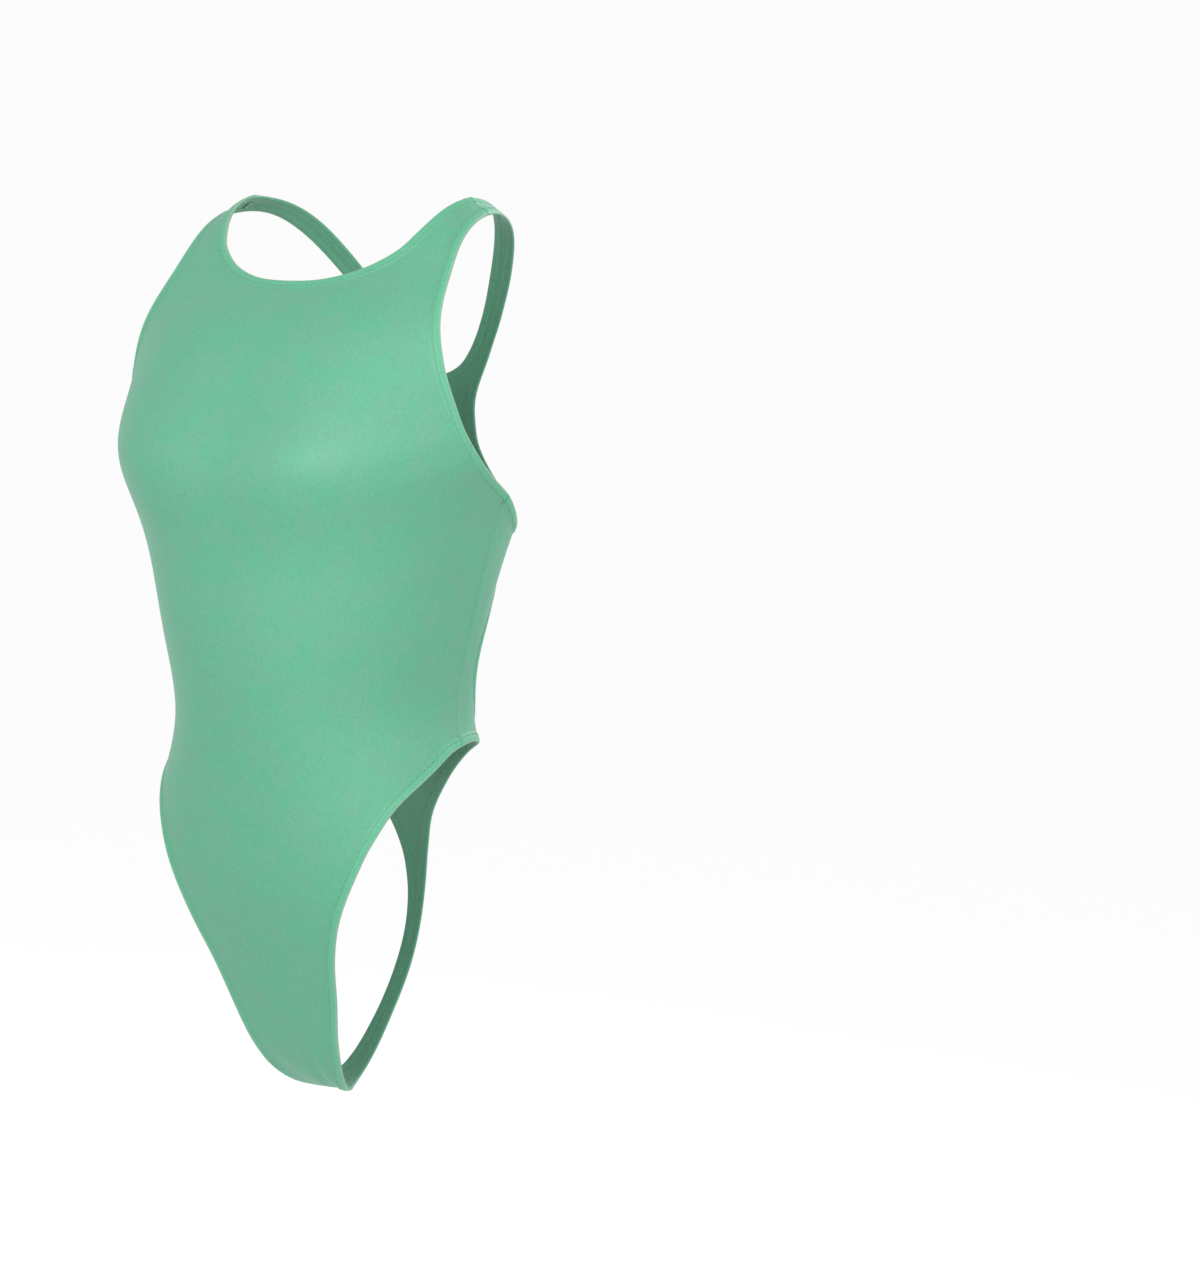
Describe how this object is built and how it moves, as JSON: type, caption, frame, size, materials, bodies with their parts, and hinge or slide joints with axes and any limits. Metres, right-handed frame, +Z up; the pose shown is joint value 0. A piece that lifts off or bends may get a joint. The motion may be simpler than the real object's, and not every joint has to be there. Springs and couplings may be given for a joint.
{
  "type": "racer-back thong leotard",
  "caption": "Sleeveless stretch-knit leotard, hollow as worn, with a high scoop neck, a racer back, an open lower back and a thong back.",
  "frame": {"origin": "midway between the tops of the two straps, level with the inside of the cloth there", "axes": "+X to the wearer's left, -Y to the front, +Z up along the body"},
  "size_m": [0.3018, 0.2645, 0.6522],
  "materials": {
    "knit": "semi-matte sea-green stretch knit",
    "thread": "pale sea-green polyester sewing thread"
  },
  "bodies": {
    "root": {"front_panel": "knit", "back_racer": "knit", "back_lower": "knit"}
  },
  "joints": []
}
